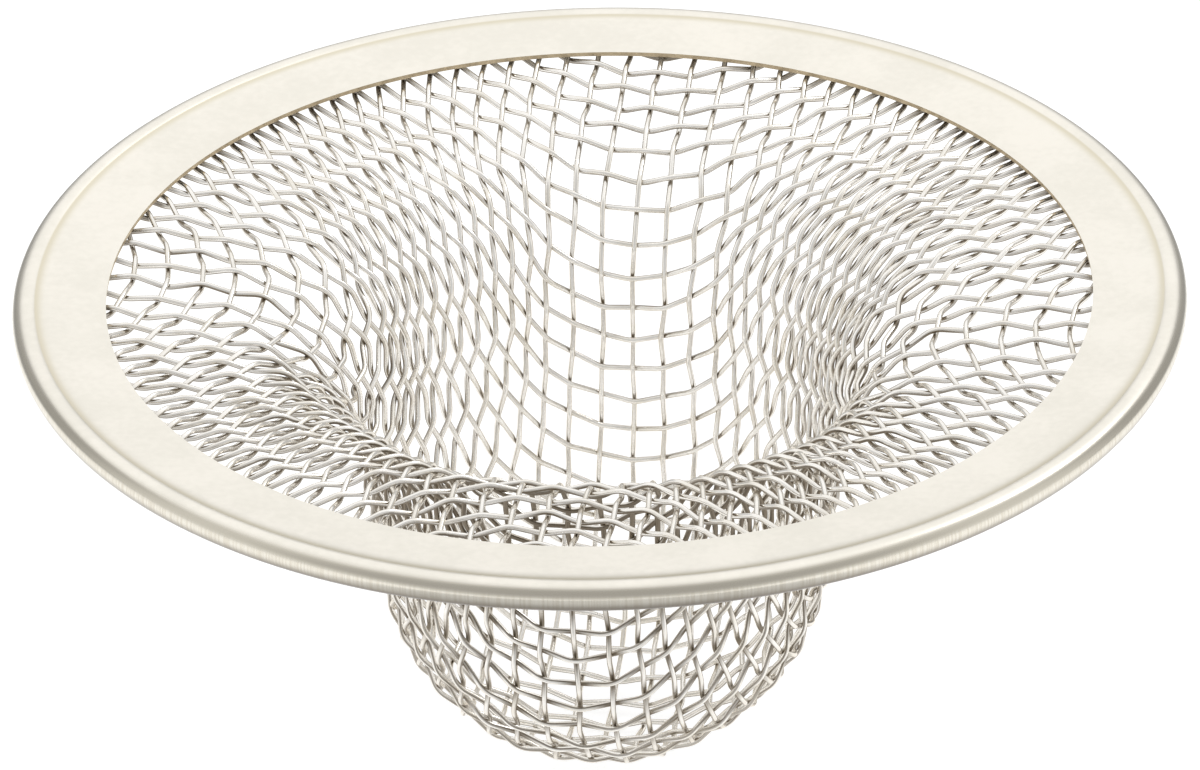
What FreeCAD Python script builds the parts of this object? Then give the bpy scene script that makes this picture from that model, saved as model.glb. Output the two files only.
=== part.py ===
import FreeCAD, Part
import math
import os

# Drain strainer: a disc of plain-woven wire cloth pressed into a hat, its edge held in a rolled rim.
# Millimetres and degrees. Z is up, and the origin is the centre of the rim's flat seat underneath.

# Rim: one strip of sheet, its outer edge rolled under into a flat lip
RIM_DIAMETER = 70.0
RIM_WIDTH = 5.6
SHEET_THICKNESS = 0.28
SHOULDER_ANGLE = 60.0
BEAD_RADIUS = 1.0
BEAD_RISE = 0.12
LIP_WIDTH = 1.9
HEM_PLAY = 0.1
DISH_ANGLE = 4.5

# Wire cloth
WIRE_DIAMETER = 0.36
WIRE_PITCH = 2.0
CROSSING_CLEARANCE = 0.09
SHEET_CLEARANCE = 0.06
CLOTH_TURN = -8.0

# Hat form of the cloth, to the middle of its thickness
CUP_RADIUS = 13.4
CUP_DEPTH = 29.7
WALL_TAPER = 7.5
FOLD_RADIUS = 8.7

# Easing of the cloth onto the form. A cell locks when its short diagonal is down to LOCKED_GAPS crossing gaps
SWEEPS = 400
STIFFNESS = 0.05
LOCK_WEIGHT = 2.0
LOCKED_GAPS = 2.6
CLOSEST_CROSSING = 0.9
MARGIN_CROSSINGS = 3

# Most groups that the wires of one direction are shared out over
WIRE_GROUPS = 28

AXIS = FreeCAD.Vector(0, 0, 1)
EIGHTH_TURN = math.pi / 4
MITRED = 1
rim_radius = RIM_DIAMETER / 2
opening_radius = rim_radius - RIM_WIDTH
dish = math.radians(DISH_ANGLE)
taper = math.radians(WALL_TAPER)
wire_radius = WIRE_DIAMETER / 2
crossing_gap = WIRE_DIAMETER + CROSSING_CLEARANCE
locked_diagonal = LOCKED_GAPS * crossing_gap
cloth_half_thickness = (crossing_gap + WIRE_DIAMETER) / 2


def in_section(r, z):
    """A point of the meridian plane."""
    return FreeCAD.Vector(r, 0, z)


def on_circle(centre, radius, angle):
    return centre + in_section(radius * math.cos(angle), radius * math.sin(angle))


# Rim section, seen with the axis on the left: roll, bead, crease and dished flat
# The hem is as high as its two sheets with the cloth between them, and its roll is as large as that takes
shoulder = math.radians(SHOULDER_ANGLE)
hem_height = 2 * (SHEET_THICKNESS + cloth_half_thickness) + LIP_WIDTH * math.tan(dish) + HEM_PLAY
bead_share = BEAD_RADIUS * (1 - math.sin(shoulder)) - BEAD_RISE
roll_radius = (hem_height - bead_share) / (1 + math.sin(shoulder))
roll_centre = in_section(rim_radius - roll_radius, roll_radius)
bead_centre = on_circle(roll_centre, roll_radius - BEAD_RADIUS, shoulder)
crease_angle = math.pi - math.asin(1 - BEAD_RISE / BEAD_RADIUS)
crease = on_circle(bead_centre, BEAD_RADIUS, crease_angle)
inner_edge = in_section(opening_radius, crease.z - (crease.x - opening_radius) * math.tan(dish))


def rim_ring():
    """The sheet's outer face as one line from the lip to the inner edge, thickened inwards and spun round."""
    lip_end = in_section(roll_centre.x - LIP_WIDTH, 0)
    roll_foot = in_section(roll_centre.x, 0)
    roll_side = on_circle(roll_centre, roll_radius, 0)
    roll_top = on_circle(roll_centre, roll_radius, shoulder)
    bead_top = on_circle(bead_centre, BEAD_RADIUS, (shoulder + crease_angle) / 2)
    outer_face = Part.Wire([
        Part.LineSegment(lip_end, roll_foot).toShape(),
        Part.Arc(roll_foot, roll_side, roll_top).toShape(),
        Part.Arc(roll_top, bead_top, crease).toShape(),
        Part.LineSegment(crease, inner_edge).toShape(),
    ])
    section = outer_face.makeOffset2D(SHEET_THICKNESS, 2, True, True)
    return section.revolve(FreeCAD.Vector(), AXIS, 360)


# Meridian of the hat, walked outwards from the bottom: round cup, tapered wall, fold and dished flange
cloth_edge_radius = roll_centre.x - roll_radius
flange_height = inner_edge.z - SHEET_THICKNESS / math.cos(dish) - SHEET_CLEARANCE - cloth_half_thickness
cup_turn = math.pi / 2 - taper
cup_centre_height = CUP_RADIUS + cloth_half_thickness - CUP_DEPTH
wall_foot = in_section(CUP_RADIUS * math.cos(taper), cup_centre_height - CUP_RADIUS * math.sin(taper))
flange_over_foot = flange_height - (opening_radius - wall_foot.x) * math.tan(dish)
wall_to_corner = (flange_over_foot - wall_foot.z) / (math.cos(taper) - math.sin(taper) * math.tan(dish))
fold_turn = cup_turn - dish
fold_setback = FOLD_RADIUS * math.tan(fold_turn / 2)
corner_radius = wall_foot.x + wall_to_corner * math.sin(taper)
flange_length = (cloth_edge_radius - corner_radius) / math.cos(dish) - fold_setback

# Each run of the meridian: its length, the direction it starts in and how fast it turns
form_runs = (
    (CUP_RADIUS * cup_turn, 0.0, 1 / CUP_RADIUS),
    (wall_to_corner - fold_setback, cup_turn, 0.0),
    (FOLD_RADIUS * fold_turn, cup_turn, -1 / FOLD_RADIUS),
    (flange_length, dish, 0.0),
)
cloth_reach = sum(length for length, _, _ in form_runs)


def meridian(s):
    """Radius, height and direction of travel at the distance s from the bottom, straight on past the edge."""
    r = 0.0
    z = cup_centre_height - CUP_RADIUS
    for length, direction, turning in form_runs:
        walked = min(s, length)
        s -= walked
        heading = direction + turning * walked
        if turning:
            r += (math.sin(heading) - math.sin(direction)) / turning
            z += (math.cos(direction) - math.cos(heading)) / turning
        else:
            r += walked * math.cos(direction)
            z += walked * math.sin(direction)
        if s <= 0:
            break
    return r + s * math.cos(heading), z + s * math.sin(heading), heading


class FormPoint:
    """A place on the hat, with the directions along the meridian, round the axis and out of the upper face."""

    def __init__(self, s, azimuth):
        self.radius, height, heading = meridian(s)
        c = math.cos(azimuth)
        n = math.sin(azimuth)
        self.spot = FreeCAD.Vector(self.radius * c, self.radius * n, height)
        self.outward = FreeCAD.Vector(math.cos(heading) * c, math.cos(heading) * n, math.sin(heading))
        self.around = FreeCAD.Vector(-n, c, 0)
        self.upward = self.outward.cross(self.around)


class Cloth:
    """The crossings of the wires, eased onto the hat. One eighth is kept, 0 <= j <= i; the rest mirrors it."""

    def __init__(self):
        reach = cloth_reach / WIRE_PITCH + MARGIN_CROSSINGS
        self.polar = {}
        for i in range(int(reach) + 1):
            self.lay_row(i, int(min(i, math.sqrt(reach ** 2 - i ** 2))))
        self.spots = {key: FormPoint(*polar).spot for key, polar in self.polar.items()}

    def lay_row(self, i, last):
        """First guess at one row: it leaves the axis squarely and climbs along the diagonal, at one pitch a step."""
        s = WIRE_PITCH * i
        azimuth = 0.0
        self.polar[i, 0] = (s, azimuth)
        for j in range(1, last + 1):
            radius = meridian(s)[0]
            crowding = max(1.0, WIRE_PITCH * i / radius / EIGHTH_TURN)
            next_azimuth = EIGHTH_TURN * (1 - (1 - j / i) ** crowding)
            sideways = min(WIRE_PITCH, radius * (next_azimuth - azimuth))
            s += math.sqrt(WIRE_PITCH ** 2 - sideways ** 2)
            azimuth = next_azimuth
            self.polar[i, j] = (s, azimuth)

    def spot(self, i, j):
        """A crossing anywhere in the cloth, or None past its edge."""
        kept = self.spots.get((max(abs(i), abs(j)), min(abs(i), abs(j))))
        if kept is None:
            return None
        x, y = (kept.y, kept.x) if abs(j) > abs(i) else (kept.x, kept.y)
        return FreeCAD.Vector(math.copysign(x, i), math.copysign(y, j), kept.z)

    def pull(self, i, j):
        """The way a crossing is pulled: one pitch from its neighbours, no tighter than locked, and in line."""
        here = self.spots[i, j]
        total = FreeCAD.Vector()
        weight = 0.0
        for ahead, behind in (((i + 1, j), (i - 1, j)), ((i, j + 1), (i, j - 1))):
            ends = [self.spot(*ahead), self.spot(*behind)]
            for end in ends:
                if end:
                    away = here - end
                    total += end + away * (WIRE_PITCH / away.Length) - here
                    weight += 1
            if all(ends):
                total += ((ends[0] + ends[1]) * 0.5 - here) * STIFFNESS
                weight += STIFFNESS
        for corner in ((i + 1, j + 1), (i + 1, j - 1), (i - 1, j + 1), (i - 1, j - 1)):
            end = self.spot(*corner)
            if end:
                away = here - end
                if away.Length < locked_diagonal:
                    total += (end + away * (locked_diagonal / away.Length) - here) * LOCK_WEIGHT
                    weight += LOCK_WEIGHT
        return total * (1 / weight)

    def ease(self):
        for _ in range(SWEEPS):
            for key, (s, azimuth) in self.polar.items():
                if key == (0, 0):
                    continue
                place = FormPoint(s, azimuth)
                step = self.pull(*key)
                s += step.dot(place.outward)
                azimuth += step.dot(place.around) / place.radius
                self.polar[key] = (s, azimuth)
                self.spots[key] = FormPoint(s, azimuth).spot

    def lift(self, i, j):
        """How far a wire stands off the middle of the cloth to clear the one it crosses; more where they shear."""
        along_row = self.spot(i + 1, j) - self.spot(i - 1, j)
        along_column = self.spot(i, j + 1) - self.spot(i, j - 1)
        angle = along_row.getAngle(along_column)
        half_angle = min(angle, math.pi - angle) / 2
        closeness = min(CLOSEST_CROSSING, crossing_gap / WIRE_PITCH / math.tan(half_angle))
        return crossing_gap / 2 / math.sqrt(1 - closeness ** 2)

    def crossing(self, i, j):
        """Distance along the form, azimuth and lift at a crossing of the first quarter, over at the even ones."""
        s, azimuth = self.polar[max(i, j), min(i, j)]
        if j > i:
            azimuth = 2 * EIGHTH_TURN - azimuth
        return s, azimuth, self.lift(i, j) * (-1) ** (i + j)

    def half_wire(self, i):
        """Crossings of one wire from its middle to the edge, and the tail it has past the last one."""
        stops = [self.crossing(i, 0)]
        while stops[-1][0] <= cloth_reach:
            stops.append(self.crossing(i, len(stops)))
        beyond = stops.pop()
        if len(stops) < 2:
            return []
        share = (cloth_reach - stops[-1][0]) / (beyond[0] - stops[-1][0])
        if share * WIRE_PITCH > wire_radius:
            stops.append([a + (b - a) * share for a, b in zip(stops[-1], beyond)])
        return stops


def bent_wire(spots):
    """A round wire that runs straight from spot to spot, with a mitred bend at each."""
    section = Part.makeCircle(wire_radius, spots[0], spots[1] - spots[0])
    return Part.makePolygon(spots).makePipeShell([Part.Wire(section)], True, False, MITRED)


def wire_solid(stops, quarters):
    """One wire turned into place. Odd quarters run across the even ones and go under where those go over."""
    turn = math.radians(CLOTH_TURN) + 2 * EIGHTH_TURN * quarters
    side = (-1) ** quarters
    whole = [(s, -azimuth, lift) for s, azimuth, lift in reversed(stops[1:])] + stops
    spots = []
    for s, azimuth, lift in whole:
        place = FormPoint(s, azimuth + turn)
        spots.append(place.spot + place.upward * (side * lift))
    return bent_wire(spots)


def export(name, solids):
    Part.makeCompound(solids).exportStep(f"parts/{name}.step")
    print(name, len(solids), "solids", round(sum(solid.Volume for solid in solids), 2), "mm3")


def export_wires(name, halves, quarters):
    """The wire through the middle, then the others outwards, each with its twin half a turn away."""
    centre, *others = [wire_solid(half, quarters) for half in halves]
    export(f"{name}_wire_centre", [centre])
    pairs = [(wire, wire.rotated(FreeCAD.Vector(), AXIS, 180)) for wire in others]
    pairs_in_group = math.ceil(len(pairs) / WIRE_GROUPS)
    for number, start in enumerate(range(0, len(pairs), pairs_in_group), 1):
        wires = [wire for pair in pairs[start:start + pairs_in_group] for wire in pair]
        export(f"{name}_wire_pair_{number:02d}", wires)


def main():
    os.makedirs("parts", exist_ok=True)
    export("rim_ring", [rim_ring()])
    cloth = Cloth()
    cloth.ease()
    halves = []
    while cloth.polar[len(halves), 0][0] <= cloth_reach:
        halves.append(cloth.half_wire(len(halves)))
    halves = [half for half in halves if half]
    export_wires("warp", halves, 0)
    export_wires("weft", halves, 1)


main()
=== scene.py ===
# %% [markdown]
# A drain strainer is a disc of woven steel wire, pressed into a hat, with its edge trapped in a rolled
# sheet rim. The CAD part holds every wire as its own solid, so the scene starts from that part and keeps
# its frame: metres, Z up, and the origin on the axis, level with the seat under the rim. The box round the
# CAD part is kept, and the rim and the floor are measured from it. The box round the CAD part is kept,
# because the dressed part has to stay inside it.

# %% The CAD part
import math

import bmesh
import bpy
import numpy as np
from mathutils import Matrix, Vector, noise


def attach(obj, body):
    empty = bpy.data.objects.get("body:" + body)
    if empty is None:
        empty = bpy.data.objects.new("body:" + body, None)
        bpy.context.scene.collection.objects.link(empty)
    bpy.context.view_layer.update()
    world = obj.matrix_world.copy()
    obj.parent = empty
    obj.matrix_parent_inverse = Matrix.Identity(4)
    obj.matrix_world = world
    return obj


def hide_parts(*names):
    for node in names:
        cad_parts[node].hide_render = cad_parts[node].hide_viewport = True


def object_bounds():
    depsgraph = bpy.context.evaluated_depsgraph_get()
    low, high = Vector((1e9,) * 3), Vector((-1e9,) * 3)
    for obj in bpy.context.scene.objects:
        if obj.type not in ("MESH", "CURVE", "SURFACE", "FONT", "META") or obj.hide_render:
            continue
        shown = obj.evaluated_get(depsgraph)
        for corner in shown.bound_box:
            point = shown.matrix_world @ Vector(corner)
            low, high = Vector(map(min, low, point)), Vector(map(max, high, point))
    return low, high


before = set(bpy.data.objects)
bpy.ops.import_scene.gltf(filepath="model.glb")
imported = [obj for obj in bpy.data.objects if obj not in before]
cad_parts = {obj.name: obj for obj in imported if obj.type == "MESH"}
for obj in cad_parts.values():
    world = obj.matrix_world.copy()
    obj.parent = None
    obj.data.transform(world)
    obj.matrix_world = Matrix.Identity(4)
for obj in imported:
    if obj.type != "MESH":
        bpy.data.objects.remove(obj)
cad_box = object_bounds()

MM = 0.001
scene = bpy.context.scene
scene.view_settings.view_transform = "Standard"
print(len(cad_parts), "CAD nodes in a box of", [round(v / MM, 2) for v in cad_box[1] - cad_box[0]], "mm")

# %% [markdown]
# Masks and finishes are written as Python sums. Value wraps one socket of a node tree, and each operator
# adds a Math node, so a mask reads like the formula it is. Nodes is one tree, of a material, of the world
# or of Geometry Nodes: its node() adds any other node, sets the node up, and fills its sockets with
# numbers, colours or Values. Finish is the tree of one material.

# %% Node sums
NOISE_DETAIL = 3.0
NOISE_MIDDLE = 0.5
LEVEL = (1, 1, 0)


class Value:
    """A number, vector or colour that changes from place to place."""

    def __init__(self, nodes, socket):
        self.nodes = nodes
        self.socket = socket

    def worked_out(self, operation, first, second):
        return self.nodes.node("ShaderNodeMath", {"operation": operation}, {0: first, 1: second})

    def __add__(self, other):
        return self.worked_out("ADD", self, other)

    def __sub__(self, other):
        return self.worked_out("SUBTRACT", self, other)

    def __rsub__(self, other):
        return self.worked_out("SUBTRACT", other, self)

    def __mul__(self, other):
        return self.worked_out("MULTIPLY", self, other)

    def __pow__(self, other):
        return self.worked_out("POWER", self, other)

    __radd__ = __add__
    __rmul__ = __mul__

    def at_least(self, other):
        return self.worked_out("MAXIMUM", self, other)


class Nodes:
    """A node tree under construction."""

    def __init__(self, tree):
        self.tree = tree

    def node(self, kind, settings=None, sockets=None, output=0):
        """Any node: its settings first, then its sockets, then the wanted output as a Value."""
        made = self.tree.nodes.new(kind)
        for name, setting in (settings or {}).items():
            setattr(made, name, setting)
        for key, given in (sockets or {}).items():
            self.feed(made.inputs[key], given)
        return Value(self, made.outputs[output])

    def feed(self, socket, given):
        if isinstance(given, Value):
            self.tree.links.new(given.socket, socket)
        else:
            socket.default_value = given

    def vector(self, operation, *given, output=0):
        return self.node("ShaderNodeVectorMath", {"operation": operation}, dict(enumerate(given)), output)

    def ramp(self, value, edges, low=0.0, high=1.0):
        """A smooth step from low at the first edge to high at the second."""
        sockets = {"Value": value, "From Min": edges[0], "From Max": edges[1], "To Min": low, "To Max": high}
        return self.node("ShaderNodeMapRange", {"interpolation_type": "SMOOTHSTEP"}, sockets)

    def noise(self, vector, scale):
        sockets = {"Vector": vector, "Scale": scale, "Detail": NOISE_DETAIL}
        return self.node("ShaderNodeTexNoise", None, sockets, "Fac")

    def blend(self, share, first, second):
        """One colour going over into another. A Mix node takes its colours in 6 and 7 and gives one in 2."""
        return self.node("ShaderNodeMix", {"data_type": "RGBA"}, {0: share, 6: first, 7: second}, 2)


class Finish(Nodes):
    """A finish under construction, round one Principled shader."""

    def __init__(self, name, **constants):
        self.material = bpy.data.materials.new(name)
        self.material.use_nodes = True
        super().__init__(self.material.node_tree)
        self.shader = self.tree.nodes["Principled BSDF"]
        for socket, constant in constants.items():
            self.shader.inputs[socket.replace("_", " ")].default_value = constant

    def varies(self, socket, value):
        self.feed(self.shader.inputs[socket], value)

    def place(self):
        """The point on the object, in millimetres."""
        return self.vector("MULTIPLY", self.node("ShaderNodeTexCoord", output="Object"), (1 / MM,) * 3)


print("helpers for node trees ready")

# %% [markdown]
# The rim is one section spun about the axis: a lip underneath, a roll round the outside, a bead on the
# shoulder, a crease, and a flat that falls towards the middle. A modelled ring could be bevelled by hand,
# but spinning a section keeps each radius a number that can be read. The outer face is drawn first, as
# straight runs and arcs, and the inner face is the same line moved in by the thickness of the sheet.
# Lengths are in millimetres.

# %% Rim section
RIM_WIDTH = 5.6
SHEET = 0.28
BEAD_RADIUS = 1.0
BEAD_RISE = 0.12
LIP_WIDTH = 1.9
SHOULDER = math.radians(60)
DISH = math.radians(4.5)
ARC_STEPS = 14
FLAT_STEPS = 6
rim_radius = cad_box[1].x / MM
rim_top = cad_box[1].z / MM
opening_radius = rim_radius - RIM_WIDTH
roll_radius = (rim_top - BEAD_RADIUS * (1 - math.sin(SHOULDER))) / (1 + math.sin(SHOULDER))
crease_angle = math.pi - math.asin(1 - BEAD_RISE / BEAD_RADIUS)


def arc(centre, radius, start, end):
    angles = np.linspace(start, end, ARC_STEPS)
    return np.column_stack([centre[0] + radius * np.cos(angles), centre[1] + radius * np.sin(angles)])


def rim_outer_face():
    """Points (r, z), from the lip's end round the roll and over the bead to the opening."""
    roll_centre = np.array([rim_radius - roll_radius, roll_radius])
    towards_bead = np.array([math.cos(SHOULDER), math.sin(SHOULDER)])
    bead_centre = roll_centre + (roll_radius - BEAD_RADIUS) * towards_bead
    roll = arc(roll_centre, roll_radius, -math.pi / 2, SHOULDER)
    bead = arc(bead_centre, BEAD_RADIUS, SHOULDER, crease_angle)
    crease = bead[-1]
    lip_end = np.array([[roll_centre[0] - LIP_WIDTH, 0.0]])
    flat_r = np.linspace(crease[0], opening_radius, FLAT_STEPS)
    flat = np.column_stack([flat_r, crease[1] - (crease[0] - flat_r) * math.tan(DISH)])
    return np.concatenate([lip_end, roll, bead[1:], flat[1:]])


def moved_in(line, distance):
    """The line moved to its left by a distance, which for this section is into the hem."""
    ahead = np.gradient(line, axis=0)
    ahead /= np.linalg.norm(ahead, axis=1)[:, None]
    return line + distance * np.column_stack([-ahead[:, 1], ahead[:, 0]])


outer_face = rim_outer_face()
crease_radius = outer_face[-FLAT_STEPS, 0]
section = np.concatenate([outer_face, moved_in(outer_face, SHEET)[::-1]])
print("rim section of", len(section), "points, top of the bead at", round(outer_face[:, 1].max(), 3), "mm")

# %% [markdown]
# The rim is satin stainless sheet. It was turned while it was polished, so its faint marks run round the
# ring. A noise that is fine across the ring and long round it gives them: its first two coordinates are the
# direction from the axis, which changes slowly, and its third is the distance from the axis, which changes
# fast. The flat is pale and a little cloudy from pressing, and painted shade makes it browner and darker
# where it meets the crease. The roll was stretched when the hem was closed, so it is finely streaked down
# its side; a painted reflection makes it greyer along its shoulder, and painted shade makes it dark at its
# foot. An image could be painted for all this, but masks made of distances follow the section without a
# seam.

# %% Rim finish
FLAT_STEEL = (0.94, 0.90, 0.815, 1)
FLAT_STEEL_CLOUDED = (0.87, 0.835, 0.75, 1)
CREASE_PAINTED_SHADE = (0.76, 0.705, 0.565, 1)
ROLL_SHOULDER_PAINTED_REFLECTION = (0.57, 0.535, 0.455, 1)
ROLL_SIDE_STEEL = (0.80, 0.765, 0.68, 1)
ROLL_STEEL_STREAK = (0.715, 0.67, 0.575, 1)
ROLL_FOOT_PAINTED_SHADE = (0.12, 0.095, 0.07, 1)
FLAT_ROUGHNESS = 0.34
ROLL_ROUGHNESS = 0.22
MARKS_ROUGHNESS = 0.10
MARKS_BUMP = 0.03
MARKS_DEPTH = 0.02
MARKS_ROUND = 5.0
MARKS_ACROSS = 9.0
STREAKS_ROUND = 230.0
STREAK_EDGES = (0.38, 0.62)
CLOUD_SIZE = 5.0
SPECK_SIZE = 0.5
SPECK_SHARE = 0.35
MOTTLE_EDGES = (0.35, 0.65)
CREASE_RUN = 0.9
CREASE_LINE = 0.12
CREASE_FALL = 3
ROLL_BEYOND_CREASE = (0.3, 0.7)
ROLL_HEIGHTS = (1.72, 1.48)
STREAK_HEIGHTS = (1.35, 0.95)
FOOT_HEIGHTS = (0.95, 0.15)


def flat_colour(finish, place, distance):
    clouds = finish.noise(place, 1 / CLOUD_SIZE)
    specks = finish.noise(place, 1 / SPECK_SIZE)
    mottle = finish.ramp(clouds * (1 - SPECK_SHARE) + specks * SPECK_SHARE, MOTTLE_EDGES)
    towards_crease = finish.ramp(distance, (crease_radius - CREASE_RUN, crease_radius)) ** CREASE_FALL
    inside_crease = finish.ramp(distance, (crease_radius + CREASE_LINE, crease_radius))
    clouded = finish.blend(mottle, FLAT_STEEL, FLAT_STEEL_CLOUDED)
    # Painted shade: the flat darkens to a browner steel towards the crease.
    return finish.blend(towards_crease * inside_crease, clouded, CREASE_PAINTED_SHADE)


def roll_colour(finish, direction, height):
    streaks = finish.ramp(finish.noise(direction, STREAKS_ROUND), STREAK_EDGES)
    side = finish.blend(streaks, ROLL_SIDE_STEEL, ROLL_STEEL_STREAK)
    # Painted reflection: high on the roll the steel is a dark grey band, like the dark room that it mirrors.
    down_to_side = finish.blend(finish.ramp(height, STREAK_HEIGHTS), ROLL_SHOULDER_PAINTED_REFLECTION, side)
    # Painted shade: the foot of the roll goes down to near black.
    return finish.blend(finish.ramp(height, FOOT_HEIGHTS), down_to_side, ROLL_FOOT_PAINTED_SHADE)


def turned_marks(finish, direction, distance):
    across = finish.node("ShaderNodeCombineXYZ", None, {"Z": distance * MARKS_ACROSS})
    stretched = finish.vector("MULTIPLY_ADD", direction, (MARKS_ROUND,) * 3, across)
    return finish.noise(stretched, scale=1.0)


def rim_finish():
    finish = Finish("rim_steel", Metallic=1.0)
    place = finish.place()
    level = finish.vector("MULTIPLY", place, LEVEL)
    direction = finish.vector("NORMALIZE", level)
    distance = finish.vector("LENGTH", level, output="Value")
    height = finish.node("ShaderNodeSeparateXYZ", None, {0: place}, "Z")
    beyond_crease = finish.ramp(distance, [crease_radius + run for run in ROLL_BEYOND_CREASE])
    roll = beyond_crease * finish.ramp(height, ROLL_HEIGHTS)
    marks = turned_marks(finish, direction, distance)
    colours = flat_colour(finish, place, distance), roll_colour(finish, direction, height)
    finish.varies("Base Color", finish.blend(roll, *colours))
    roughness = FLAT_ROUGHNESS + roll * (ROLL_ROUGHNESS - FLAT_ROUGHNESS)
    finish.varies("Roughness", roughness + (marks - NOISE_MIDDLE) * MARKS_ROUGHNESS)
    bump = {"Strength": MARKS_BUMP, "Distance": MARKS_DEPTH * MM, "Height": marks}
    finish.varies("Normal", finish.node("ShaderNodeBump", None, bump))
    return finish.material


rim_steel = rim_finish()
print("rim finish:", rim_steel.name)

# %% [markdown]
# The inner edge of the sheet was sheared and never polished, so it is duller, and it is coloured a golden
# brown. It needs a finish of its own, because a colour that followed the distance from the axis would also
# tint the rim of the flat.

# %% Cut edge finish
CUT_STEEL = (0.80, 0.68, 0.48, 1)
CUT_STEEL_BROWN = (0.50, 0.41, 0.28, 1)
CUT_ROUGHNESS = 0.5
CUT_GRAIN = 0.4


def cut_edge_finish():
    finish = Finish("rim_cut_edge", Metallic=1.0, Roughness=CUT_ROUGHNESS)
    grain = finish.noise(finish.place(), 1 / CUT_GRAIN)
    finish.varies("Base Color", finish.blend(grain, CUT_STEEL, CUT_STEEL_BROWN))
    return finish.material


rim_cut_edge = cut_edge_finish()
print("cut edge finish:", rim_cut_edge.name)

# %% [markdown]
# The section is spun into a ring of quads. Blender has a Spin tool for that, but the ring is as quickly
# worked out: each corner of the section is turned through the same angles. The faces of the cut edge take
# the second finish.

# %% Rim
RIM_STEPS = 240
SHARP_EDGE = math.radians(35)
UPRIGHT = 0.5


def spun(name, section, steps):
    """A closed section in (r, z) millimetres spun about Z."""
    angles = np.arange(steps) * 2 * math.pi / steps
    r, z = section.T * MM
    x = np.outer(np.cos(angles), r)
    y = np.outer(np.sin(angles), r)
    rings = np.stack([x, y, np.tile(z, (steps, 1))], axis=-1)
    count = len(section)
    corner = np.arange(steps * count).reshape(steps, count)
    on = np.roll(corner, -1, axis=0)
    quads = np.stack([corner, on, np.roll(on, -1, axis=1), np.roll(corner, -1, axis=1)], axis=-1)
    mesh = bpy.data.meshes.new(name)
    mesh.from_pydata(rings.reshape(-1, 3).tolist(), [], quads.reshape(-1, 4).tolist())
    return mesh


def face_outwards(mesh):
    work = bmesh.new()
    work.from_mesh(mesh)
    bmesh.ops.recalc_face_normals(work, faces=work.faces)
    work.to_mesh(mesh)
    work.free()


def is_cut_edge(face):
    r = math.hypot(face.center.x, face.center.y) / MM
    return r < opening_radius + SHEET / 2 and abs(face.normal.z) < UPRIGHT


def placed(name, mesh, nodes):
    """A finished piece: linked, riding on the part's one body and standing for its CAD nodes."""
    piece = bpy.data.objects.new(name, mesh)
    scene.collection.objects.link(piece)
    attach(piece, "root")
    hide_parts(*nodes)
    return piece


rim_mesh = spun("rim", section, RIM_STEPS)
face_outwards(rim_mesh)
rim_mesh.materials.append(rim_steel)
rim_mesh.materials.append(rim_cut_edge)
for face in rim_mesh.polygons:
    face.material_index = int(is_cut_edge(face))
rim_mesh.shade_smooth()
rim_mesh.set_sharp_from_angle(angle=SHARP_EDGE)
placed("rim", rim_mesh, ["rim_ring"])
print("rim of", len(rim_mesh.polygons), "faces")

# %% [markdown]
# The wire is bright drawn steel, smoother than the sheet, so it mirrors its surroundings in thin crisp
# lines. The flanks of a wire, the places where two wires touch, the underside of the fold and the wire at
# the edge of the rim are painted dark brown as painted shade, most of all outside. Each wire carries that
# painted shade as an attribute, which is made together with its shape further down. A shader could guess at
# such places, but it can't know the weave. Soft patches of a slightly browner steel keep a hundred wires
# from looking like one.

# %% Wire finish
WIRE_STEEL = (0.95, 0.925, 0.88, 1)
WIRE_STEEL_BROWN = (0.87, 0.83, 0.755, 1)
WIRE_STEEL_EDGE = (0.95, 0.92, 0.87, 1)
WIRE_PAINTED_SHADE = (0.125, 0.09, 0.05, 1)
WIRE_ROUGHNESS = 0.12
PATCH_ROUGHNESS = 0.12
PAINTED_SHADE_ROUGHNESS = 0.15
PATCH_SIZE = 2.0
PATCH_EDGES = (0.4, 0.7)


def wire_finish():
    finish = Finish("wire_steel", Metallic=1.0, Specular_Tint=WIRE_STEEL_EDGE)
    patches = finish.noise(finish.place(), 1 / PATCH_SIZE)
    painted_shade = finish.node("ShaderNodeAttribute", {"attribute_name": "painted_shade"}, None, "Fac")
    clean = finish.blend(finish.ramp(patches, PATCH_EDGES), WIRE_STEEL, WIRE_STEEL_BROWN)
    # The painted shade attribute darkens the wire to a dark brown.
    finish.varies("Base Color", finish.blend(painted_shade, clean, WIRE_PAINTED_SHADE))
    finish.varies("Roughness", WIRE_ROUGHNESS + patches * PATCH_ROUGHNESS + painted_shade * PAINTED_SHADE_ROUGHNESS)
    return finish.material


wire_steel = wire_finish()
print("wire finish:", wire_steel.name)

# %% [markdown]
# The cloth was already laid onto the hat in the CAD part, wire by wire, so its paths are read back from
# there and nothing has to be draped twice. A CAD wire is a chain of straight tubes. Short edges run round a
# tube and long ones along it, so the points joined by short edges are one bend, and the long edges say
# which bend comes next.

# %% Paths of the wires
LONGEST_ROUND_EDGE = 0.18
WELD = 1e-6


def welded(node):
    """Points and edges of a CAD node's mesh, with the loose triangles joined."""
    spots = np.empty(len(node.data.vertices) * 3)
    node.data.vertices.foreach_get("co", spots)
    spots = spots.reshape(-1, 3)
    corners = np.empty(len(node.data.loops), int)
    node.data.loops.foreach_get("vertex_index", corners)
    _, first, same = np.unique(np.round(spots / WELD), axis=0, return_index=True, return_inverse=True)
    triangles = same.ravel()[corners].reshape(-1, 3)
    edges = np.concatenate([triangles[:, [0, 1]], triangles[:, [1, 2]], triangles[:, [2, 0]]])
    return spots[first], np.unique(np.sort(edges), axis=0)


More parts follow.
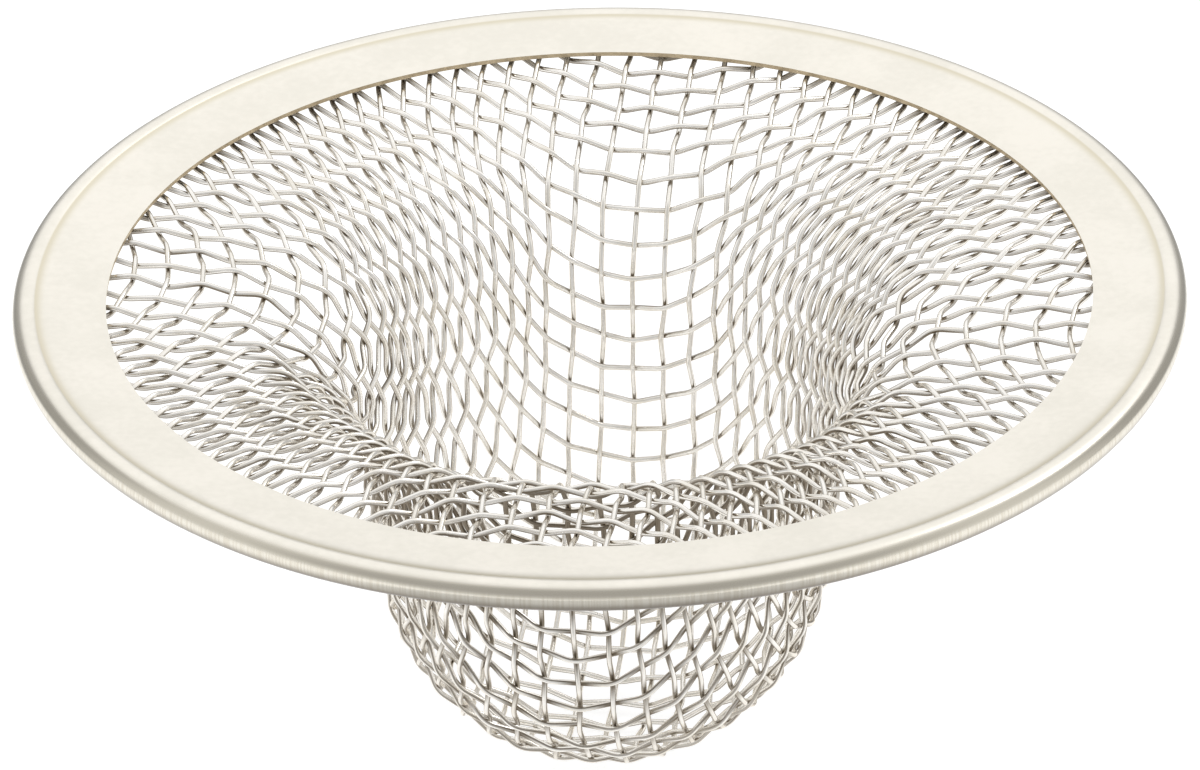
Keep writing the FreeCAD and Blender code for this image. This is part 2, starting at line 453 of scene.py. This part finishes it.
def bends(spots, edges):
    """The centre of each bend, and the pairs of bends that a straight run joins."""
    lengths = np.linalg.norm(spots[edges[:, 0]] - spots[edges[:, 1]], axis=1)
    round_edges = edges[lengths < LONGEST_ROUND_EDGE * MM]
    label = np.arange(len(spots))
    while True:
        lowest = label[round_edges].min(axis=1)
        spread = label.copy()
        np.minimum.at(spread, round_edges[:, 0], lowest)
        np.minimum.at(spread, round_edges[:, 1], lowest)
        if (spread == label).all():
            break
        label = spread
    _, bend = np.unique(label, return_inverse=True)
    share = 1 / np.bincount(bend)
    centres = np.column_stack([np.bincount(bend, spots[:, axis]) * share for axis in range(3)])
    runs = np.sort(bend[edges])
    return centres, np.unique(runs[runs[:, 0] != runs[:, 1]], axis=0)


def in_order(runs):
    """Each chain of bends, from one end to the other."""
    beside = {}
    for first, second in runs.tolist():
        beside.setdefault(first, []).append(second)
        beside.setdefault(second, []).append(first)
    ends = [bend for bend, near in beside.items() if len(near) == 1]
    chains = []
    for end in ends:
        if any(end == chain[-1] for chain in chains):
            continue
        chain = [end]
        onward = beside[end]
        while onward:
            chain.append(onward[0])
            onward = [bend for bend in beside[chain[-1]] if bend != chain[-2]]
        chains.append(chain)
    return chains


def wire_paths(node):
    centres, runs = bends(*welded(node))
    return [centres[chain] for chain in in_order(runs)]


wire_nodes = {name: node for name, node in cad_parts.items() if "_wire_" in name}
paths = {name: wire_paths(node) for name, node in wire_nodes.items()}
print(sum(len(found) for found in paths.values()), "wires read, with up to",
      max(len(path) for found in paths.values() for path in found), "bends")

# %% [markdown]
# Pressed cloth is never quite even: its cells lean and widen a little from place to place. So the bends are
# shifted by a slow noise, which crossing wires share, so that they still meet. The noise has a fixed seed,
# because without one it starts from the time of day and every run would give another cloth. The rim and
# the floor hold the cloth still. Each bend also gets the way out of the cup, and whether the crossing wire
# lies on that side. Both can be read off the weave itself: a wire waves round its neighbours, so each bend
# bulges away from the one that it crosses.

# %% Bends of the cloth
UNEVENNESS = 0.26
UNEVEN_SIZE = 3.2
STEADY_RUN = 3.0
UNEVEN_SEED = 5


def free_to_move(distance):
    """Nothing at a distance of nothing, going up smoothly to 1 past the steady run."""
    share = np.clip(distance / (STEADY_RUN * MM), 0, 1)
    return share * share * (3 - 2 * share)


def uneven(path):
    """The path shifted by a slow noise that wires share where they cross."""
    from_rim = opening_radius * MM - np.hypot(path[:, 0], path[:, 1])
    free = free_to_move(from_rim) * free_to_move(path[:, 2] - cad_box[0].z)
    shifts = np.array([noise.noise_vector(Vector(spot) / (UNEVEN_SIZE * MM)) for spot in path])
    return path + UNEVENNESS * MM * free[:, None] * shifts


def cloth_sides(chain):
    """At each bend, the way out of the cup, and 1 or -1 for a neighbour on that side or inside."""
    waves = np.zeros_like(chain)
    waves[1:-1] = chain[:-2] + chain[2:] - 2 * chain[1:-1]
    waves[1:-1] -= (waves[:-2] + waves[2:]) / 2
    radial = chain * LEVEL
    radial /= np.maximum(np.linalg.norm(radial, axis=1), WELD)[:, None]
    neighbour = np.sign(np.sum(waves * (radial - (0, 0, 1)), axis=1))
    outside = neighbour[:, None] * waves / np.maximum(np.linalg.norm(waves, axis=1), WELD)[:, None]
    return outside, neighbour


def chain_mesh(name, chains):
    """The paths as loose chains of edges, with the sides of the cloth at each point."""
    spots = []
    edges = []
    for chain in chains:
        start = len(spots)
        spots.extend(chain.tolist())
        edges.extend((k, k + 1) for k in range(start, len(spots) - 1))
    mesh = bpy.data.meshes.new(name)
    mesh.from_pydata(spots, edges, [])
    outside, neighbour = (np.concatenate(found) for found in zip(*map(cloth_sides, chains)))
    mesh.attributes.new("outside", "FLOAT_VECTOR", "POINT").data.foreach_set("vector", outside.ravel())
    mesh.attributes.new("neighbour", "FLOAT", "POINT").data.foreach_set("value", neighbour)
    return mesh


noise.seed_set(UNEVEN_SEED)
path_meshes = {name: chain_mesh(name + "_path", [uneven(path) for path in found])
               for name, found in paths.items()}
print(sum(len(mesh.vertices) for mesh in path_meshes.values()), "bends in", len(path_meshes), "pieces")

# %% [markdown]
# A real wire is not mitred: it runs straight between its neighbours and bends tightly round each. So the
# bends of a path are rounded off, and a small circle is swept along it. Both are Geometry Nodes, because
# every wire follows the same rule. The circle is a little smaller than the CAD wire, as rounding brings
# crossing wires closer together. The tree also works out the painted shade, while the way out of the cup is
# at hand: painted shade darkens the outer flanks, the contacts, the underside of the fold and the wire at
# the edge of the rim.

# %% Wire along a path
WIRE_RADIUS = 0.166
WIRE_SIDES = 12
BEND_RADIUS = 1.8
BEND_STEPS = 6
CONTACT_PAINTED_SHADE = 0.9
FLANK_PAINTED_SHADE = 0.95
FOLD_PAINTED_SHADE = 0.9
RIM_PAINTED_SHADE = 0.7
CONTACT_FACING = (0.4, 0.95)
CONTACT_OUTSIDE = (-0.4, 0.3)
CONTACT_INSIDE = 0.1
FLANK_START = (0.0, 0.25)
FLANK_END = (0.85, 0.4)
FOLD_OUTSIDE = (0.0, 0.4)
FOLD_HEIGHTS = (-14.0, -10.0)
RIM_RUN = 0.35
WIRE_INPUTS = {"Radius": "NodeSocketFloat", "Sides": "NodeSocketInt",
               "Bend Radius": "NodeSocketFloat", "Bend Steps": "NodeSocketInt",
               "Contact Painted Shade": "NodeSocketFloat", "Flank Painted Shade": "NodeSocketFloat",
               "Fold Painted Shade": "NodeSocketFloat", "Rim Painted Shade": "NodeSocketFloat", "Finish": "NodeSocketMaterial"}


def carried(nodes, name, kind):
    """An attribute that the points of the path carry."""
    return nodes.node("GeometryNodeInputNamedAttribute", {"data_type": kind}, {"Name": name})


def wire_painted_shade(nodes, given):
    """How much painted shade darkens a wire brown, from the side of the cloth, the height and the distance
    from the axis.
    """
    normal = nodes.node("GeometryNodeInputNormal")
    outside = nodes.vector("DOT_PRODUCT", normal, carried(nodes, "outside", "FLOAT_VECTOR"), output="Value")
    facing = outside * carried(nodes, "neighbour", "FLOAT")
    spot = nodes.node("GeometryNodeInputPosition")
    height = nodes.node("ShaderNodeSeparateXYZ", None, {0: spot}, "Z")
    distance = nodes.vector("LENGTH", nodes.vector("MULTIPLY", spot, LEVEL), output="Value")
    # Painted shade where the crossing wire lies close, mostly outside.
    contact = nodes.ramp(facing, CONTACT_FACING) * nodes.ramp(outside, CONTACT_OUTSIDE, CONTACT_INSIDE)
    # Painted shade on the flanks of each wire, between the two faces of the cloth.
    flank = nodes.ramp(outside, FLANK_START) * nodes.ramp(outside, FLANK_END)
    # Painted shade on the outer faces of the wire just under the fold.
    fold = nodes.ramp(height, [level * MM for level in FOLD_HEIGHTS]) * nodes.ramp(outside, FOLD_OUTSIDE)
    # Painted shade on the wire just inside the edge of the rim, where it goes under.
    rim = nodes.ramp(distance, ((opening_radius - RIM_RUN) * MM, opening_radius * MM))
    painted_shade = (contact * given["Contact Painted Shade"]).at_least(flank * given["Flank Painted Shade"])
    return painted_shade.at_least(fold * given["Fold Painted Shade"]).at_least(rim * given["Rim Painted Shade"])


def wire_tree():
    """A tree that turns a chain of points into a round wire carrying painted shade, and the identifiers of
    its inputs.
    """
    tree = bpy.data.node_groups.new("wire_along_path", "GeometryNodeTree")
    tree.interface.new_socket("Path", in_out="INPUT", socket_type="NodeSocketGeometry")
    inputs = {name: tree.interface.new_socket(name, in_out="INPUT", socket_type=kind).identifier
              for name, kind in WIRE_INPUTS.items()}
    tree.interface.new_socket("Wire", in_out="OUTPUT", socket_type="NodeSocketGeometry")
    nodes = Nodes(tree)
    given = {socket.name: Value(nodes, socket) for socket in tree.nodes.new("NodeGroupInput").outputs}
    line = nodes.node("GeometryNodeMeshToCurve", None, {"Mesh": given["Path"]})
    rounding = {"Radius": given["Bend Radius"], "Count": given["Bend Steps"], "Limit Radius": True}
    bent = nodes.node("GeometryNodeFilletCurve", {"mode": "POLY"}, {"Curve": line, **rounding})
    circle = {"Resolution": given["Sides"], "Radius": given["Radius"]}
    profile = nodes.node("GeometryNodeCurvePrimitiveCircle", None, circle)
    sweep = {"Curve": bent, "Profile Curve": profile, "Fill Caps": True}
    painted_shade = {"Name": "painted_shade", "Value": wire_painted_shade(nodes, given)}
    painted_shade["Geometry"] = nodes.node("GeometryNodeCurveToMesh", None, sweep)
    soiled = nodes.node("GeometryNodeStoreNamedAttribute", None, painted_shade)
    smooth = nodes.node("GeometryNodeSetShadeSmooth", None, {"Geometry": soiled})
    single = nodes.node("GeometryNodeRealizeInstances", None, {"Geometry": smooth})
    finished = nodes.node("GeometryNodeSetMaterial", None, {"Geometry": single, "Material": given["Finish"]})
    nodes.feed(tree.nodes.new("NodeGroupOutput").inputs[0], finished)
    return tree, inputs


def swept(name, path_mesh, tree, inputs):
    """The wires of one CAD node as a plain mesh."""
    maker = bpy.data.objects.new(name + "_maker", path_mesh)
    scene.collection.objects.link(maker)
    modifier = maker.modifiers.new("wire", "NODES")
    modifier.node_group = tree
    values = {"Radius": WIRE_RADIUS * MM, "Sides": WIRE_SIDES, "Bend Radius": BEND_RADIUS * MM,
              "Bend Steps": BEND_STEPS, "Contact Painted Shade": CONTACT_PAINTED_SHADE, "Flank Painted Shade": FLANK_PAINTED_SHADE,
              "Fold Painted Shade": FOLD_PAINTED_SHADE, "Rim Painted Shade": RIM_PAINTED_SHADE, "Finish": wire_steel}
    for label, value in values.items():
        modifier[inputs[label]] = value
    seen = maker.evaluated_get(bpy.context.evaluated_depsgraph_get())
    mesh = bpy.data.meshes.new_from_object(seen)
    mesh.name = name
    bpy.data.objects.remove(maker)
    return mesh


tree, tree_inputs = wire_tree()
wires = []
for name, path_mesh in path_meshes.items():
    piece_name = name.replace("_pair", "s")
    mesh = swept(piece_name, path_mesh, tree, tree_inputs)
    wires.append(placed(piece_name, mesh, [name]))
print(len(wires), "wire pieces,", sum(len(wire.data.polygons) for wire in wires), "faces")

# %% [markdown]
# The photograph was taken from well back with a long lens, thirty degrees above the rim, with the camera
# tipped by about one degree. The camera stands where that puts the middle of the rim at its place in the
# picture, and it is aimed below the rim rather than shifted, because the other views keep the lens as it
# is. Lengths are in millimetres, except for the nearest and farthest that the camera sees, in metres.

# %% Camera
PICTURE_WIDTH = 1200
PICTURE_HEIGHT = 770
ELEVATION = math.radians(30.0)
TIP = math.radians(1.2)
DISTANCE = 700.0
PIXELS_PER_MM = 16.78
RIM_MIDDLE = Vector((0, 0, 1.29))
RIM_MIDDLE_SEEN = (599.3, 290.3)
SENSOR = 36.0
NEAREST = 0.05
FARTHEST = 20.0


def camera():
    lens = bpy.data.cameras.new("camera")
    lens.sensor_width = SENSOR
    lens.lens = PIXELS_PER_MM * DISTANCE * SENSOR / PICTURE_WIDTH
    lens.clip_start = NEAREST
    lens.clip_end = FARTHEST
    made = bpy.data.objects.new("camera", lens)
    scene.collection.objects.link(made)
    away = Vector((0, -math.cos(ELEVATION), math.sin(ELEVATION)))
    up = Vector((0, math.sin(ELEVATION), math.cos(ELEVATION)))
    right = Vector((1, 0, 0))
    seen = Vector((RIM_MIDDLE_SEEN[0] - PICTURE_WIDTH / 2, PICTURE_HEIGHT / 2 - RIM_MIDDLE_SEEN[1]))
    level = Matrix.Rotation(-TIP, 2) @ seen / PIXELS_PER_MM
    spot = RIM_MIDDLE + away * DISTANCE
    aim = RIM_MIDDLE - right * level.x - up * level.y
    turn = (aim - spot).to_track_quat("-Z", "Y").to_matrix() @ Matrix.Rotation(-TIP, 3, "Z")
    made.matrix_world = Matrix.Translation(spot * MM) @ turn.to_4x4()
    return made


scene.camera = camera()
print("lens of", round(scene.camera.data.lens, 1), "mm at", DISTANCE, "mm")

# %% [markdown]
# The strainer stands on pale paper, with its cup touching it. The paper glows a little, so that it looks
# white to the camera, through gaps and in the metal, and still takes a shadow. In the metal the glow ends
# behind the strainer, where a real sheet of paper would end as well: without that, the far sides of the rim
# would have no dark edge. It is also weaker in an oval in front, where the camera keeps the light off, and
# that darkens the roll in the middle. Lengths are in metres.

# %% Floor
FLOOR_SIZE = 6.0
FLOOR_PAPER = (0.50, 0.50, 0.50, 1)
FLOOR_ROUGHNESS = 0.9
FLOOR_GLOW = 0.72
GLOW_END = (0.11, 0.055)
SHADE_SQUEEZE = (2, 1, 0)
SHADE_MIDDLE = (0, -0.2, 0)
SHADE_EDGES = (0.19, 0.15)
SHADE_GREY = 0.3
BLACK = (0, 0, 0, 1)
WHITE = (1, 1, 1, 1)


def floor_finish():
    finish = Finish("floor_white", Base_Color=FLOOR_PAPER, Roughness=FLOOR_ROUGHNESS,
                    Emission_Strength=FLOOR_GLOW)
    direct = finish.node("ShaderNodeLightPath", output="Is Camera Ray")
    mirrored = finish.node("ShaderNodeLightPath", output="Is Glossy Ray")
    through = finish.node("ShaderNodeLightPath", output="Is Transmission Ray")
    spot = finish.node("ShaderNodeTexCoord", output="Object")
    back = finish.node("ShaderNodeSeparateXYZ", None, {0: spot}, "Y")
    squeezed = finish.vector("MULTIPLY", spot, SHADE_SQUEEZE)
    away = finish.vector("DISTANCE", squeezed, SHADE_MIDDLE, output="Value")
    shade = finish.ramp(away, SHADE_EDGES, 1.0, SHADE_GREY)
    shown = direct + through + mirrored * finish.ramp(back, GLOW_END) * shade
    finish.varies("Emission Color", finish.blend(shown, BLACK, WHITE))
    return finish.material


def floor():
    half = FLOOR_SIZE / 2
    height = cad_box[0].z
    corners = [(-half, -half, height), (half, -half, height), (half, half, height), (-half, half, height)]
    mesh = bpy.data.meshes.new("floor")
    mesh.from_pydata(corners, [], [(0, 1, 2, 3)])
    mesh.materials.append(floor_finish())
    made = bpy.data.objects.new("floor", mesh)
    scene.collection.objects.link(made)


floor()
print("floor at", round(cad_box[0].z / MM, 2), "mm")

# %% [markdown]
# Bright metal shows the room more than itself. A catalogue photograph is taken inside a white tent, so the
# room here is white all round, and every colour comes out about as it is written. Two things are greyer:
# the opening that the camera looks in through, which draws the dark band along the roll of the rim, and the
# walls low down behind, which draw the line of the crease and the dark skirt at the far left and right.
# Lamps could make the white, but then each wire would mirror only a few bright lines. One soft lamp behind
# the strainer adds the glints on the wires. Lengths are in metres.

# %% Light
ROOM_WHITE = 1.04
OPENING_GREY = 0.6
OPENING_RISE = math.radians(43)
OPENING_SHAPE = (0.55, 1, 1)
OPENING_EDGES = (math.radians(52), math.radians(5))
WALL_GREY = 0.54
WALL_EDGES = (math.radians(18), math.radians(8))
WALL_RISE = 0.8
WALL_BACK = (0.0, 0.5)
KEY_SPOT = (0.75, 0.55, 1.05)
KEY_SIZE = 0.3
KEY_BRIGHTNESS = 6.0


def opening(nodes, way):
    """1 in the white of the room, going down to a grey where the camera looks in."""
    middle = (0, -math.cos(OPENING_RISE), math.sin(OPENING_RISE))
    narrowed = nodes.vector("NORMALIZE", nodes.vector("MULTIPLY", way, OPENING_SHAPE))
    facing = nodes.vector("DOT_PRODUCT", narrowed, middle, output="Value")
    return nodes.ramp(facing, [math.cos(edge) for edge in OPENING_EDGES], 1.0, OPENING_GREY)


def walls(nodes, way):
    """1 in the white of the room, going down to a grey low down behind, higher up at the sides."""
    x, y, z = (nodes.node("ShaderNodeSeparateXYZ", None, {0: way}, axis) for axis in "XYZ")
    low = nodes.ramp(z - WALL_RISE * x * x, [math.sin(edge) for edge in WALL_EDGES])
    return 1 - (1 - WALL_GREY) * low * nodes.ramp(y, WALL_BACK)


def room():
    world = bpy.data.worlds.new("room")
    world.use_nodes = True
    nodes = Nodes(world.node_tree)
    way = nodes.node("ShaderNodeTexCoord", output="Generated")
    background = nodes.tree.nodes["Background"].inputs
    nodes.feed(background["Color"], opening(nodes, way) * walls(nodes, way))
    nodes.feed(background["Strength"], ROOM_WHITE)
    return world


def key_lamp():
    """A soft square lamp that at a brightness of 1 would look like white paper."""
    lamp = bpy.data.lights.new("key_lamp", "AREA")
    lamp.size = KEY_SIZE
    lamp.energy = KEY_BRIGHTNESS * math.pi * KEY_SIZE ** 2
    made = bpy.data.objects.new("key_lamp", lamp)
    made.location = KEY_SPOT
    made.rotation_euler = (-Vector(KEY_SPOT)).to_track_quat("-Z", "Y").to_euler()
    made.visible_camera = False
    scene.collection.objects.link(made)
    return made


scene.world = room()
lamp = key_lamp()
print("a white room and a lamp of", round(lamp.data.energy, 2), "watts")
